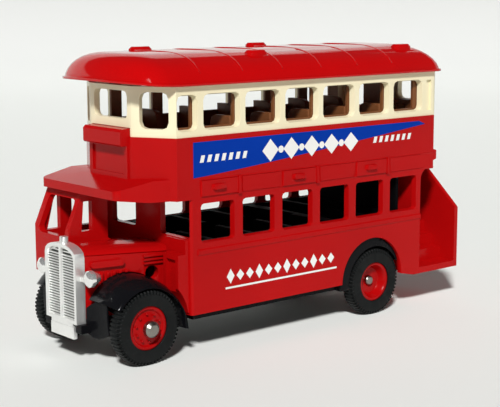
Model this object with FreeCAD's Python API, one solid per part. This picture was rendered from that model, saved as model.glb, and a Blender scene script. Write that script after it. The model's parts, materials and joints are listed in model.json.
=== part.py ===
import FreeCAD, Part
import math
import os

os.makedirs("parts", exist_ok=True)
V = FreeCAD.Vector

# Die-cast toy half-cab double decker bus.  Millimetres, +X forward, +Y to the bus's left
# (the kerb side, where the open rear platform is), +Z up, origin on the ground under the
# middle of the toy's length and width.

# ---------------------------------------------------------------- driving sizes: lengths
PITCH = 8.0              # window pitch of both decks
SALOON_LEN = 49.4        # lower saloon, bulkhead to bulkhead
PLAT_LEN = 9.8           # rear platform, with the stairs
BONNET_LEN = 13.6        # front bulkhead to radiator
RAD_DEPTH = 1.6          # radiator shell
OVERHANG = 6.0           # upper deck in front of the front bulkhead
CANOPY_LEN = 5.0         # canopy in front of the upper deck
CAB_LEN = 12.2           # front bulkhead to the cab's front panel
WHEELBASE = 46.5
AXLE_AHEAD = 7.5         # front axle in front of the front bulkhead
DECK_REAR_LEN = 3.1      # upper deck behind the rear bulkhead

BODY_FRONT = (SALOON_LEN + PLAT_LEN - BONNET_LEN - RAD_DEPTH) / 2
BODY_REAR = BODY_FRONT - SALOON_LEN
PLAT_REAR = BODY_REAR - PLAT_LEN
RAD_BACK = BODY_FRONT + BONNET_LEN
RAD_X = RAD_BACK + RAD_DEPTH
FRONT_X = BODY_FRONT + OVERHANG
CANOPY_X = FRONT_X + CANOPY_LEN
CAB_X = BODY_FRONT + CAB_LEN
UPPER_REAR = BODY_REAR - DECK_REAR_LEN

# ---------------------------------------------------------------- driving sizes: widths
HALF_W = 11.8            # body side planes
WALL = 0.95              # casting wall
FRONT_HALF = 5.5         # flat middle panel of the upper deck's front
FACET_RUN = 3.55         # length of the angled panels beside it
CAB_GAP = 9.6            # from the far side to the cab's inner wall
RAD_HALF = 4.15
BONNET_REAR_HALF = 6.5   # the bonnet widens towards the bulkhead
CORNER_X = FRONT_X - FACET_RUN
CAB_NEAR = CAB_GAP - HALF_W

# ---------------------------------------------------------------- driving sizes: heights
SIDE_BOTTOM = 6.24       # lower edge of the side panels
LOWER_H = 17.36          # from there to the upper floor
DECK_T = 0.9             # upper floor
PANEL_H = 8.28           # red upper-deck panels above the floor
FRAME_H = 7.37           # cream window frame
ROOF_H = 4.65
PLAT_T = 1.05            # rear platform
PLAT_UP = 0.36           # its top above the lower edge of the side panels
CAB_SILL = 17.4
CAB_BOTTOM = 8.6
DECK_Z0 = SIDE_BOTTOM + LOWER_H
DECK_Z1 = DECK_Z0 + DECK_T
WAIST_TOP = DECK_Z1 + PANEL_H
EAVE_Z = WAIST_TOP + FRAME_H
PLAT_Z1 = SIDE_BOTTOM + PLAT_UP
PLAT_Z0 = PLAT_Z1 - PLAT_T

# windows: distances from the deck and the eave, widths along the side
LOW_WIN = dict(behind=2.0, width=6.15, height=5.6, below_deck=0.9, r=0.4, flare=0.14, count=6)
UP_WIN = dict(behind=5.29, width=6.6, sill=1.04, head=1.41, r=0.75, flare=0.2, count=6)
UP_FIRST = dict(behind=0.45, width=3.4)

# ---------------------------------------------------------------- driving sizes: running gear
TYRE_R = 5.56
RIM_R = 3.28
TYRE_W = 2.3
TYRE_INSET = 0.4         # tyre's outer face inside the body side
RIM_INSET = 0.25         # hub's outer face inside the tyre's
AXLE_R = 0.78
RUN_CLEAR = 0.05         # radial running clearance of the axle in the base
ROOM_GAP = 0.3           # casting to wheels, radiator and lamps, where it would reach them
AXLE_Z = TYRE_R
AXLE_X = {"front": BODY_FRONT + AXLE_AHEAD, "rear": BODY_FRONT + AXLE_AHEAD - WHEELBASE}
TYRE_OUT = HALF_W - TYRE_INSET
RIM_OUT = TYRE_OUT - RIM_INSET
AXLE_END = {"front": 1.55, "rear": -0.85}       # end of the axle beyond the hub's face
AXLE_HEAD = {"front": 1.2, "rear": 0.0}         # radius of its riveted heads, if any

WING_GAP = 0.34          # mudguard lip above the tyre
WING_CROWN = 1.35        # height of the mudguard's crown above its lip
WING_T = 0.6
WING_IN = 4.9            # inner edge, against the bonnet
WING_OVER = 0.3          # lip inside the body side plane
ARCH_R = 7.0             # rear arch in the body sides
ARCH_AHEAD = 1.0         # its centre in front of the rear axle
LINER_GAP = 0.44         # black lining above the tyre
LINER_DEEP = 0.55        # its face inside the body side
LINER_REAR = 2.3         # its rear end above the side panels' lower edge

BASE_T = 1.4             # black base plate
BASE_DROP = 0.14         # its top below the side panels
BASE_HALF = 5.2
LUG_Y = 1.9              # axle bearings on the base
LUG_T = 1.0
POST_R = 1.25            # casting posts that hold the base
POST_FIT = 0.1
POSTS = [dict(x=BODY_FRONT - 1.9), dict(x=BODY_REAR + 2.8)]
BASE_Z1 = SIDE_BOTTOM - BASE_DROP
BASE_Z0 = BASE_Z1 - BASE_T
INSERT_FIT = 0.15        # mouldings inside the casting
SIDE_IN = HALF_W - WALL


# ---------------------------------------------------------------- small helpers
def box(x0, x1, y0, y1, z0, z1):
    return Part.makeBox(x1 - x0, y1 - y0, z1 - z0, V(x0, y0, z0))


def poly(points):
    return Part.Face(Part.makePolygon([V(*p) for p in points] + [V(*points[0])]))


def prism_z(pts, z0, z1):
    return poly([(x, y, z0) for x, y in pts]).extrude(V(0, 0, z1 - z0))


def prism_y(pts, y0, y1):
    return poly([(x, y0, z) for x, z in pts]).extrude(V(0, y1 - y0, 0))


def prism_x(pts, x0, x1):
    return poly([(x0, y, z) for y, z in pts]).extrude(V(x1 - x0, 0, 0))


def loft(sections):
    """Ruled solid through closed outlines that have the same number of points."""
    wires = [Part.makePolygon([V(*p) for p in s] + [V(*s[0])]) for s in sections]
    return Part.makeLoft(wires, True, True)


def cyl_y(x, z, r, y0, y1):
    return Part.makeCylinder(r, y1 - y0, V(x, y0, z), V(0, 1, 0))


def cyl_z(x, y, r, z0, z1):
    return Part.makeCylinder(r, z1 - z0, V(x, y, z0))


def revolve_y(profile, x, z, angle=360.0, start=0.0):
    """Turn a (y, radius) profile about the line through (x, z) along Y."""
    face = poly([(x, y, z + r) for y, r in profile])
    if start:
        face.rotate(V(x, 0, z), V(0, 1, 0), start)
    return face.revolve(V(x, 0, z), V(0, 1, 0), angle)


def arc_pts(cu, cv, r, a0, a1, steps):
    """Points on an arc, both ends included; angles in degrees."""
    out = []
    for k in range(steps + 1):
        a = math.radians(a0 + (a1 - a0) * k / steps)
        out.append((cu + r * math.cos(a), cv + r * math.sin(a)))
    return out


def round_pts(u0, u1, v0, v1, r, steps=2):
    """Outline of a rounded rectangle."""
    return (arc_pts(u1 - r, v0 + r, r, -90, 0, steps) + arc_pts(u1 - r, v1 - r, r, 0, 90, steps)
            + arc_pts(u0 + r, v1 - r, r, 90, 180, steps)
            + arc_pts(u0 + r, v0 + r, r, 180, 270, steps))


def fuse(shapes):
    s = shapes[0]
    return s.fuse(shapes[1:]).removeSplitter() if len(shapes) > 1 else s


def cut(s, tools):
    return s.cut(tools) if tools else s


def mirror_y(s):
    return s.mirror(V(0, 0, 0), V(0, 1, 0))


def both(s):
    return [s, mirror_y(s)]


def deck_plan(inset=0.0, rear=UPPER_REAR):
    """Plan of the upper deck: straight sides, two angled front panels, flat middle."""
    a = math.atan2(FACET_RUN, HALF_W - FRONT_HALF)
    hw = HALF_W - inset
    fx = FRONT_X - inset
    fh = FRONT_HALF - inset * math.tan(a / 2)
    cx = CORNER_X - inset * math.tan((math.pi / 2 - a) / 2)
    return [(rear, -hw), (cx, -hw), (fx, -fh), (fx, fh), (cx, hw), (rear, hw)]


def side_window(x0, x1, z0, z1, r, face_y, depth, flare):
    """Cutter for a window in a left side: its opening widens towards the outer face."""
    inner = round_pts(x0, x1, z0, z1, r)
    outer = round_pts(x0 - flare, x1 + flare, z0 - flare, z1 + flare, r + flare)
    y_in = face_y - depth
    flared = loft([[(x, y_in, z) for x, z in inner], [(x, face_y, z) for x, z in outer]])
    lead = prism_y(inner, y_in - depth, y_in)
    lip = prism_y(outer, face_y, face_y + depth)
    return flared.fuse([lead, lip])


# ---------------------------------------------------------------- the red casting
COVE_R = 1.9             # cove under the upper deck, above the platform
SKIRT_FLAT, SKIRT_RAMP = 1.5, 3.1    # lower edge behind the rear arch
CORNER_R = 0.5           # front corners of the lower saloon
BEAD = dict(below_sill=1.0, height=1.0, out=0.18, short=1.2)
BAND = dict(up=0.35, height=2.3, line=0.22, out=0.12, short=1.9)     # band under the advert
BAND_PANEL = dict(length=7.2, out=0.26)
BAND_REST = dict(gap=0.7, out=0.14)     # lower panels between the ones with a hood
BAND_POST = dict(width=0.5, out=0.42)
BAND_VENT = dict(behind=1.5, length=3.2, height=1.7, out=0.75, taper=0.5)


def lower_saloon():
    cove = arc_pts(BODY_REAR - COVE_R, DECK_Z0 + 0.2 - COVE_R, COVE_R, 90, 0, 4)
    side = [(BODY_FRONT, SIDE_BOTTOM), (BODY_FRONT, DECK_Z1), (cove[0][0], DECK_Z1)] + cove
    side += [(BODY_REAR, PLAT_Z0), (BODY_REAR + SKIRT_FLAT, PLAT_Z0),
             (BODY_REAR + SKIRT_FLAT + SKIRT_RAMP, SIDE_BOTTOM)]
    r = CORNER_R
    plan = [(PLAT_REAR, -HALF_W)] + arc_pts(BODY_FRONT - r, r - HALF_W, r, -90, 0, 3)
    plan += arc_pts(BODY_FRONT - r, HALF_W - r, r, 0, 90, 3) + [(PLAT_REAR, HALF_W)]
    shell = prism_y(side, -HALF_W, HALF_W).common(prism_z(plan, 0, DECK_Z1))
    inner = box(BODY_REAR + WALL, BODY_FRONT - WALL, -SIDE_IN, SIDE_IN, 0.0, DECK_Z0)
    x = AXLE_X["rear"] + ARCH_AHEAD
    depth = WALL + TYRE_W + 1.0
    arch = cyl_y(x, SIDE_BOTTOM, ARCH_R, HALF_W - depth, HALF_W + 1)
    below = box(x - ARCH_R, x + ARCH_R, HALF_W - depth, HALF_W + 1, 0.0, SIDE_BOTTOM)
    return cut(shell, [inner] + both(arch) + both(below))


def lower_windows():
    w = LOW_WIN
    z1 = DECK_Z0 - w["below_deck"]
    z0 = z1 - w["height"]
    cutters = []
    for k in range(w["count"]):
        x1 = BODY_FRONT - w["behind"] - PITCH * k
        cutters += both(side_window(x1 - w["width"], x1, z0, z1, w["r"], HALF_W, WALL,
                                    w["flare"]))
    return cutters


def side_strip(x0, x1, z0, z1, out):
    """Raised strip along a side, with both edges bevelled."""
    e = out
    prof = [(HALF_W - WALL / 2, z0), (HALF_W, z0), (HALF_W + out, z0 + e), (HALF_W + out, z1 - e),
            (HALF_W, z1), (HALF_W - WALL / 2, z1)]
    return prism_x(prof, x0, x1)


def side_mouldings():
    """Waist bead, and the band of panels, posts and ventilator hoods over the windows."""
    sill = DECK_Z0 - LOW_WIN["below_deck"] - LOW_WIN["height"]
    z1 = sill - BEAD["below_sill"]
    out = [side_strip(BODY_REAR, BODY_FRONT - BEAD["short"], z1 - BEAD["height"], z1, BEAD["out"])]
    b = BAND
    z0 = DECK_Z0 + b["up"]
    z1 = z0 + b["height"]
    x1 = BODY_FRONT - b["short"]
    out.append(side_strip(UPPER_REAR, x1, z1, z1 + b["line"], b["out"] / 2))
    out.append(side_strip(UPPER_REAR, x1, z0 - b["line"], z0, b["out"] / 2))
    for k in range(0, LOW_WIN["count"], 2):
        x = x1 - PITCH * k
        xp = x - BAND_PANEL["length"]
        out.append(box(xp, x, SIDE_IN, HALF_W + BAND_PANEL["out"], z0, z1))
        rear = max(UPPER_REAR + 0.3, x - 2 * PITCH + BAND_REST["gap"])
        out.append(box(rear, xp - BAND_REST["gap"], SIDE_IN, HALF_W + BAND_REST["out"], z0, z1))
        out.append(box(xp - BAND_POST["width"] / 2, xp + BAND_POST["width"] / 2, SIDE_IN,
                       HALF_W + BAND_POST["out"], z0 - b["line"], z1 + b["line"]))
        out.append(vent_hood(x - BAND_VENT["behind"], z0 + 0.2))
    return [s for m in out for s in both(m)]


def vent_hood(x1, z0):
    v = BAND_VENT
    x0, z1, t = x1 - v["length"], z0 + v["height"], v["taper"]
    base = round_pts(x0, x1, z0, z1, t, 1)
    crest = round_pts(x0 + t, x1 - t, z0 + 1.4 * t, z1 - t / 2, t / 3, 1)
    return loft([[(x, SIDE_IN, z) for x, z in base],
                 [(x, HALF_W + v["out"], z) for x, z in crest]])


DEST = dict(half=4.9, out=1.5, height=2.6, rise=1.22)    # destination box
APRON = dict(drop=4.9, out=0.35, rim=0.7, deep=0.3)      # recessed panel under it
LIP = dict(up=0.7, height=1.5, out=0.75, bevel=0.25)     # rear lip of the upper deck
DOOR = dict(inner=3.9, outer=9.2)                        # from the stairs to the upper deck


def upper_panels():
    outer = prism_z(deck_plan(), DECK_Z0, WAIST_TOP)
    inner = prism_z(deck_plan(WALL, UPPER_REAR + WALL), DECK_Z1, WAIST_TOP + 1)
    shell = cut(outer, [inner])
    top = WAIST_TOP + DEST["rise"]
    low = top - DEST["height"]
    x = FRONT_X + DEST["out"]
    dest = prism_y([(FRONT_X - WALL / 2, low), (x - 0.15, low), (x, low + 0.2), (x, top - 0.5),
                    (x - 0.4, top - 0.1), (FRONT_X - WALL / 2, top)], -DEST["half"], DEST["half"])
    a = APRON
    xa = FRONT_X + a["out"]
    apron = box(FRONT_X - WALL / 2, xa, -DEST["half"], DEST["half"], low - a["drop"], low)
    panel = box(xa - a["deep"], xa + 1, a["rim"] - DEST["half"], DEST["half"] - a["rim"],
                low - a["drop"] + a["rim"], low - a["rim"] / 2)
    z0 = DECK_Z1 + LIP["up"]
    z1 = z0 + LIP["height"]
    xl = UPPER_REAR - LIP["out"]
    lip = prism_y([(UPPER_REAR + 0.1, z0 - LIP["bevel"]), (xl, z0), (xl, z1),
                   (UPPER_REAR + 0.1, z1 + LIP["bevel"])], -HALF_W, HALF_W)
    return [shell, dest, cut(apron, [panel]), lip]


def stair_door():
    return box(PLAT_REAR - 1, UPPER_REAR + 2 * WALL, -DOOR["outer"], -DOOR["inner"], DECK_Z1,
               WAIST_TOP + 1)


CANOPY = dict(edge_low=0.6, edge_top=1.9, root=3.15, corner=1.2, near_in=3.0)


def canopy():
    """Roof over the cab and bonnet: rounded plan, top sloping down to a thick front edge."""
    c = CANOPY
    back = BODY_FRONT - 0.5
    r = c["corner"]
    near = HALF_W - c["near_in"]
    plan = [(back, -HALF_W)] + arc_pts(CANOPY_X - r, r - HALF_W, r, -90, 0, 4)
    plan += arc_pts(CANOPY_X - r, near - r, r, 0, 75, 4) + [(back, HALF_W)]
    prof = [(back - 1, DECK_Z0), (FRONT_X, DECK_Z0), (CANOPY_X, DECK_Z0 + c["edge_low"]),
            (CANOPY_X, DECK_Z0 + c["edge_top"]), (FRONT_X - 0.6, DECK_Z0 + c["root"]),
            (back - 1, DECK_Z0 + c["root"])]
    solid = prism_z(plan, DECK_Z0, DECK_Z0 + c["root"])
    return solid.common(prism_y(prof, -HALF_W - 1, HALF_W + 1))


CAB = dict(rake=2.4, screen_low=1.0, head=0.9, side_frame=1.3, post=1.0,
           quarter=dict(ahead=1.6, lean=1.4, length=2.4), door=dict(ahead=6.1, length=4.2),
           inner=dict(ahead=2.3, lean=0.4, length=1.9, up=0.8), post_b=2.8,
           rail_front=0.65, rail_rear=3.65)


def cab():
    """Driver's half-cab: raked windscreen, quarter light and door window on the far side."""
    c = CAB
    far, near = -HALF_W, CAB_NEAR
    z1 = CAB_SILL + c["screen_low"]
    top_x = CAB_X - c["rake"]
    head = DECK_Z0 - c["head"]
    back = BODY_FRONT - 0.5
    t = WALL
    outer = prism_y([(back, CAB_BOTTOM), (CAB_X, CAB_BOTTOM), (CAB_X, z1), (top_x, DECK_Z0 + 0.3),
                     (back, DECK_Z0 + 0.3)], far, near)
    hollow = prism_y([(back - 0.5, 0.0), (CAB_X - t, 0.0), (CAB_X - t, z1), (top_x - t, DECK_Z0),
                      (back - 0.5, DECK_Z0)], far + t, near - t)
    screen = prism_x(round_pts(far + c["side_frame"], near - c["post"], CAB_SILL, head + 0.3, 0.6),
                     BODY_FRONT + CAB_LEN / 2, CAB_X + 1)
    q = c["quarter"]
    xq = CAB_X - q["ahead"]
    quarter = prism_y([(xq, CAB_SILL), (xq - q["lean"], head), (xq - q["length"], head),
                       (xq - q["length"], CAB_SILL)], far - 1, far + t + 1)
    d = c["door"]
    xd = CAB_X - d["ahead"]
    door = prism_y(round_pts(xd - d["length"], xd, CAB_SILL, head, 0.6), far - 1, far + t + 1)
    i = c["inner"]
    xi = CAB_X - i["ahead"]
    xb = xi - i["length"]
    inner = prism_y([(xi, CAB_SILL + i["up"]), (xi - i["lean"], head), (xb, head),
                     (xb, CAB_SILL + i["up"])], near - t - 1, near + 1)
    xo = xb - c["post_b"]
    open_side = prism_y([(xo, DECK_Z0), (xo, CAB_SILL - c["rail_front"]),
                         (BODY_FRONT, CAB_SILL - c["rail_rear"]), (BODY_FRONT, DECK_Z0)],
                        near - t - 1, near + 1)
    return cut(outer, [hollow, screen, quarter, door, inner, open_side])


BONNET = dict(bottom=6.6, ridge=16.0, ridge_rear=15.4, crown=1.3, crown_rear=0.9, lip=0.18,
              far_rear=4.2, shell=1.1)
PILL = dict(ahead=0.8, length=5.4, up=7.4, height=0.95, out=0.55)     # long bulge
LOUVRES = dict(ahead=2.4, count=5, pitch=0.98, width=0.42, up=4.7, height=2.0, out=0.42)
SLATS = dict(behind=9.4, length=3.1, count=3, up=7.1, pitch=0.55, height=0.28, out=0.35)
PORT = dict(behind=10.8, up=5.7, r=1.1, deep=1.6)       # round hole
DASH = dict(depth=2.0, inner=7.5, outer=11.2, height=8.9, top=15.5, rim=0.75, deep=0.5)
SCUTTLE = dict(depth=0.6, inner=6.4, height=2.1)


def bonnet_section(x, near, far, ridge, crown):
    """Outline across the bonnet: upright sides, overhanging edge, rounded top."""
    lip = BONNET["lip"]
    pts = [(-far, BONNET["bottom"]), (-far, ridge - lip), (-far - lip, ridge)]
    for k in range(1, 6):
        a = math.pi * k / 6
        mid, half = (near - far) / 2, (near + far) / 2
        pts.append((mid - half * math.cos(a), ridge + crown * math.sin(a)))
    pts += [(near + lip, ridge), (near, ridge - lip), (near, BONNET["bottom"])]
    return [(x, y, z) for y, z in pts]


def on_bonnet_side(shape):
    """Move a detail made with x back from the radiator and y out of the side to its place."""
    run = RAD_BACK - BODY_FRONT
    widen = BONNET_REAR_HALF - (RAD_HALF - 0.15)
    s = shape.copy()
    s.rotate(V(0, 0, 0), V(0, 0, 1), -math.degrees(math.atan2(widen, run)))
    s.translate(V(RAD_BACK, RAD_HALF - 0.15, BONNET["bottom"]))
    return s


def bonnet():
    b = BONNET
    half = RAD_HALF - 0.15
    back = BODY_FRONT - 0.3
    body = loft([bonnet_section(back, BONNET_REAR_HALF, b["far_rear"], b["ridge_rear"],
                                b["crown_rear"]),
                 bonnet_section(RAD_BACK, half, half, b["ridge"], b["crown"])])
    t = b["shell"]
    hollow = prism_z([(back - 1, t - b["far_rear"]), (RAD_BACK - t, t - half),
                      (RAD_BACK - t, half - t), (back - 1, BONNET_REAR_HALF - t)],
                     0, b["ridge_rear"] - t)
    p = PILL
    details = [prism_y(round_pts(-p["ahead"] - p["length"], -p["ahead"], p["up"],
                                 p["up"] + p["height"], p["height"] / 2 - 0.01), -0.5, p["out"])]
    v = LOUVRES
    for k in range(v["count"]):
        x = -v["ahead"] - v["pitch"] * k
        details.append(box(x - v["width"], x, -0.5, v["out"], v["up"], v["up"] + v["height"]))
    h = SLATS
    for k in range(h["count"]):
        z = h["up"] + h["pitch"] * k
        details.append(box(-h["behind"] - h["length"], -h["behind"], -0.5, h["out"], z,
                           z + h["height"]))
    o = PORT
    port = prism_y(arc_pts(-o["behind"], o["up"], o["r"], 0, 330, 11), -o["deep"], 1.0)
    d = DASH
    x = BODY_FRONT + d["depth"]
    z0 = d["top"] - d["height"]
    dash = box(BODY_FRONT - 0.5, x, d["inner"], d["outer"], z0, d["top"])
    panel = box(x - d["deep"], x + 1, d["inner"] + d["rim"], d["outer"] - d["rim"], z0 - 1,
                d["top"] - d["rim"])
    s = SCUTTLE
    scuttle = box(BODY_FRONT - 0.5, BODY_FRONT + s["depth"], s["inner"], d["outer"], d["top"] - 1,
                  d["top"] + s["height"])
    solids = [cut(body, [on_bonnet_side(port)]), cut(dash, [panel]), scuttle]
    return solids + [on_bonnet_side(m) for m in details], [hollow]


BULKHEAD = dict(near_in=4.2, corner=0.4, sill=17.7, driver_out=2.2, driver_sill=18.0,
                head=0.9)
SALOON_DOOR = dict(inner=1.2, outer=6.6, head=2.1)


def bulkhead_openings():
    """Window beside the bonnet, the driver's rear window, and the door from the platform."""
    b = BULKHEAD
    near = prism_x(round_pts(b["near_in"], HALF_W - b["corner"], b["sill"], DECK_Z0 + 0.1, 0.4),
                   BODY_FRONT - WALL - 1, BODY_FRONT + 1)
    driver = prism_x(round_pts(b["driver_out"] - SIDE_IN, CAB_NEAR, b["driver_sill"],
                               DECK_Z0 - b["head"], 0.5), BODY_FRONT - WALL - 1, BODY_FRONT + 1)
    d = SALOON_DOOR
    door = box(BODY_REAR - 1, BODY_REAR + WALL + 1, d["inner"], d["outer"], PLAT_Z1,
               DECK_Z0 - d["head"])
    return [near, driver, door]


STAIR = dict(rise=2.1, going=1.95, inset=3.34, count=8, under=4.4, body_gap=1.0)
STAIR_WALL = dict(t=0.8, end=9.5, slope=0.885, nose=0.4)


def platform():
    """Rear platform with the stairs that climb across the back behind a sloping wall."""
    floor = box(PLAT_REAR, BODY_REAR + 0.5, -HALF_W, HALF_W, PLAT_Z0, PLAT_Z1)
    w = STAIR_WALL
    z_end = PLAT_Z1 + w["end"]
    y_top = HALF_W - w["nose"] - (WAIST_TOP - z_end - w["nose"]) / w["slope"]
    wall = prism_x([(HALF_W, PLAT_Z0), (HALF_W, z_end), (HALF_W - w["nose"], z_end + w["nose"]),
                    (y_top, WAIST_TOP), (-HALF_W, WAIST_TOP), (-HALF_W, PLAT_Z0)],
                   PLAT_REAR, PLAT_REAR + w["t"])
    side = prism_y([(PLAT_REAR, PLAT_Z0), (PLAT_REAR, WAIST_TOP), (UPPER_REAR + 0.5, WAIST_TOP),
                    (UPPER_REAR + 0.5, DECK_Z0), (BODY_REAR + 0.5, DECK_Z0),
                    (BODY_REAR + 0.5, PLAT_Z0)], -HALF_W, -SIDE_IN)
    s = STAIR
    x0, x1 = PLAT_REAR + w["t"] / 2, BODY_REAR - s["body_gap"]
    out = [floor, wall, side]
    for k in range(s["count"]):
        z1 = PLAT_Z1 + s["rise"] * (k + 1)
        y1 = HALF_W - s["inset"] - s["going"] * k
        z0 = max(PLAT_Z1 - 0.2, z1 - s["under"])
        out.append(box(x0, x1, -SIDE_IN - 0.2, y1, z0, z1))
    y1 = HALF_W - s["inset"] - s["going"] * s["count"]
    out.append(box(x0, UPPER_REAR + 0.5, -SIDE_IN - 0.2, y1, DECK_Z0 - 1.0, DECK_Z1))
    return out


def post(x, grow, z0, z1):
    return prism_z(arc_pts(x, 0, POST_R + grow, 15, 345, 11), z0, z1)


def posts():
    return [post(p["x"], 0.0, BASE_Z0, DECK_Z0 + 0.2) for p in POSTS]


def wing_section(tail=0.0):
    """Section (y, radius) of a front mudguard: crown by the bonnet, lip at the outside.

    tail goes from 0 to 1 where the lip spreads towards the mudguard's rear end.
    """
    y0, y1 = WING_IN, HALF_W - WING_OVER
    lip = TYRE_R + WING_GAP
    top = lip + WING_CROWN
    w = y1 - y0
    spread = tail * (WING_CROWN - 0.05)
    return [(y0, top), (y0 + 0.45 * w, top - 0.05), (y0 + 0.75 * w, top - 0.4 * (1 - tail / 2)),
            (y0 + 0.92 * w, lip + 0.45 + 0.7 * spread), (y1, lip + spread),
            (y1 - WING_T / 2, lip + 0.75 * spread), (y0, lip + 0.2 * spread)]


def wing_room():
    """Space for a mudguard and its wheel in the casting."""
    x, r = AXLE_X["front"], TYRE_R + WING_GAP + WING_CROWN + 0.1
    return cyl_y(x, AXLE_Z, r, WING_IN - 0.1, HALF_W + 1).fuse(
        box(x - r, x + r, WING_IN - 0.1, HALF_W + 1, 0, AXLE_Z))


def rear_wheel_room():
    """Space for a rear wheel in the casting."""
    return cyl_y(AXLE_X["rear"], AXLE_Z, TYRE_R + ROOM_GAP, TYRE_OUT - TYRE_W - ROOM_GAP, HALF_W + 1)


def radiator_room():
    """Space in front of the casting for the radiator, its lamps and their brackets."""
    p, g = LAMP, ROOM_GAP
    x0 = RAD_X - p["front"] - p["length"] - g
    lamp_room = Part.makeCylinder(p["r"] + g, CAB_LEN, V(x0, p["y"], p["z"]), V(1, 0, 0))
    arms = box(RAD_BACK, RAD_BACK + CAB_LEN, -p["y"], p["y"], p["z"] - p["arm"] - g, p["z"] + g)
    return [prism_x(radiator_outline(-g), RAD_BACK, RAD_BACK + CAB_LEN), arms] + both(lamp_room)


def body_shape():
    bonnet_parts, bonnet_hollow = bonnet()
    solid = fuse([lower_saloon(), canopy(), cab()] + upper_panels() + platform() + posts()
                 + side_mouldings() + bonnet_parts)
    room = prism_z(deck_plan(WALL, UPPER_REAR + WALL), DECK_Z1, WAIST_TOP + 2)
    tools = lower_windows() + bulkhead_openings() + bonnet_hollow + [room, stair_door()]
    tools += both(wing_room()) + both(rear_wheel_room()) + radiator_room()
    return cut(solid, tools)


# ---------------------------------------------------------------- cream window frame
FRAME_IN = 0.22          # its face inside the red panels'
FRAME_T = 1.03
FRAME_REAR = 1.1         # behind the upper deck's panels
FRAME_CORNER = 1.3       # rounded rear corners
FACET_WIN = dict(side=1.3, sill=1.22, head=0.8, r=1.0)
FRONT_WIN = dict(half=4.3, sill=2.52, head=0.75, r=0.8, slot=1.22)
REAR_WIN = dict(inner=3.2, outer=8.0, sill=2.42, head=1.55, r=0.8)
REAR_DOOR = dict(inner=3.9, outer=8.6)
SLIT = dict(ahead=1.7, width=1.2, sill=0.92, head=1.35, deep=0.4)


def frame_plan(inset, rear, r):
    front = deck_plan(inset)[1:5]
    y = HALF_W - inset
    return (front + arc_pts(rear + r, y - r, r, 90, 180, 3) + arc_pts(rear + r, r - y, r, 180, 270, 3))


def frame_windows():
    """x of the front and rear edge of each side window, first the short one."""
    w, f = UP_WIN, UP_FIRST
    out = [(CORNER_X - f["behind"], CORNER_X - f["behind"] - f["width"])]
    for k in range(w["count"]):
        x1 = CORNER_X - w["behind"] - PITCH * k
        out.append((x1, x1 - w["width"]))
    return out


def facet_window():
    """Window square to the angled front panel on the left."""
    f = FACET_WIN
    wide = HALF_W - FRONT_HALF
    half = math.hypot(FACET_RUN, wide) / 2 - f["side"]
    win = prism_x(round_pts(-half, half, WAIST_TOP + f["sill"], EAVE_Z - f["head"], f["r"]), -3, 3)
    win.rotate(V(0, 0, 0), V(0, 0, 1), math.degrees(math.atan2(FACET_RUN, wide)))
    win.translate(V((FRONT_X + CORNER_X) / 2, (HALF_W + FRONT_HALF) / 2, 0))
    return win


def window_frame():
    rear = UPPER_REAR - FRAME_REAR
    face = HALF_W - FRAME_IN
    outer = prism_z(frame_plan(FRAME_IN, rear, FRAME_CORNER), WAIST_TOP, EAVE_Z)
    inner = prism_z(deck_plan(FRAME_IN + FRAME_T, rear + FRAME_T), WAIST_TOP - 1, EAVE_Z + 1)
    w = UP_WIN
    tools = [inner]
    for x1, x0 in frame_windows():
        tools += both(side_window(x0, x1, WAIST_TOP + w["sill"], EAVE_Z - w["head"], w["r"], face,
                                  FRAME_T, w["flare"]))
    x1 = rear + SLIT["ahead"] + SLIT["width"]
    tools += both(box(x1 - SLIT["width"], x1, face - SLIT["deep"], face + 1,
                      WAIST_TOP + SLIT["sill"], EAVE_Z - SLIT["head"]))
    tools += both(facet_window())
    m = FRONT_WIN
    tools.append(prism_x(round_pts(-m["half"], m["half"], WAIST_TOP + m["sill"],
                                   EAVE_Z - m["head"], m["r"]), FRONT_X - 3, FRONT_X + 1))
    tools.append(box(FRONT_X - 3, FRONT_X + 1, -DEST["half"] - 0.1, DEST["half"] + 0.1,
                     WAIST_TOP - 1, WAIST_TOP + m["slot"] + 0.05))
    r = REAR_WIN
    tools.append(prism_x(round_pts(r["inner"], r["outer"], WAIST_TOP + r["sill"],
                                   EAVE_Z - r["head"], r["r"]), rear - 1, rear + 2 * FRAME_T))
    d = REAR_DOOR
    tools.append(box(rear - 1, rear + 2 * FRAME_T, -d["outer"], -d["inner"], WAIST_TOP - 1,
                     EAVE_Z - r["head"]))
    return cut(outer, tools)


# ---------------------------------------------------------------- roof
# The roof is a ruled loft through level outlines.  At level t (0 at the eave, 1 at the crown)
# g = 1 - t ** bulge, and each edge comes inwards with a root of g.
ROOF = dict(eave=-0.42, bulge=2.04, levels=9, half=HALF_W + 0.35, side_root=3.5,
            front=FRONT_X + 3.27, front_run=5.8, front_root=2.9,
            rear=UPPER_REAR - 2.3, rear_run=7.2, rear_root=2.1,
            bow_angle=15.5, front_r=4.7, rear_r=2.3)
ROOF_RIM = dict(height=0.4, out=0.15)
ROOF_SWEEP = dict(length=7.5, rise=0.6)  # the eave rises towards the front edge
ROOF_T = 1.0
ROOF_SEAT = 0.05         # roof's rim above the window frame
ROOF_VENTS = [dict(x=6.3, y=8.0), dict(x=-25.9, y=8.0), dict(x=18.1, y=-5.8),
              dict(x=-5.5, y=-5.8)]
VENT = dict(length=4.0, width=2.2, rise=0.6, top=0.4)


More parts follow.
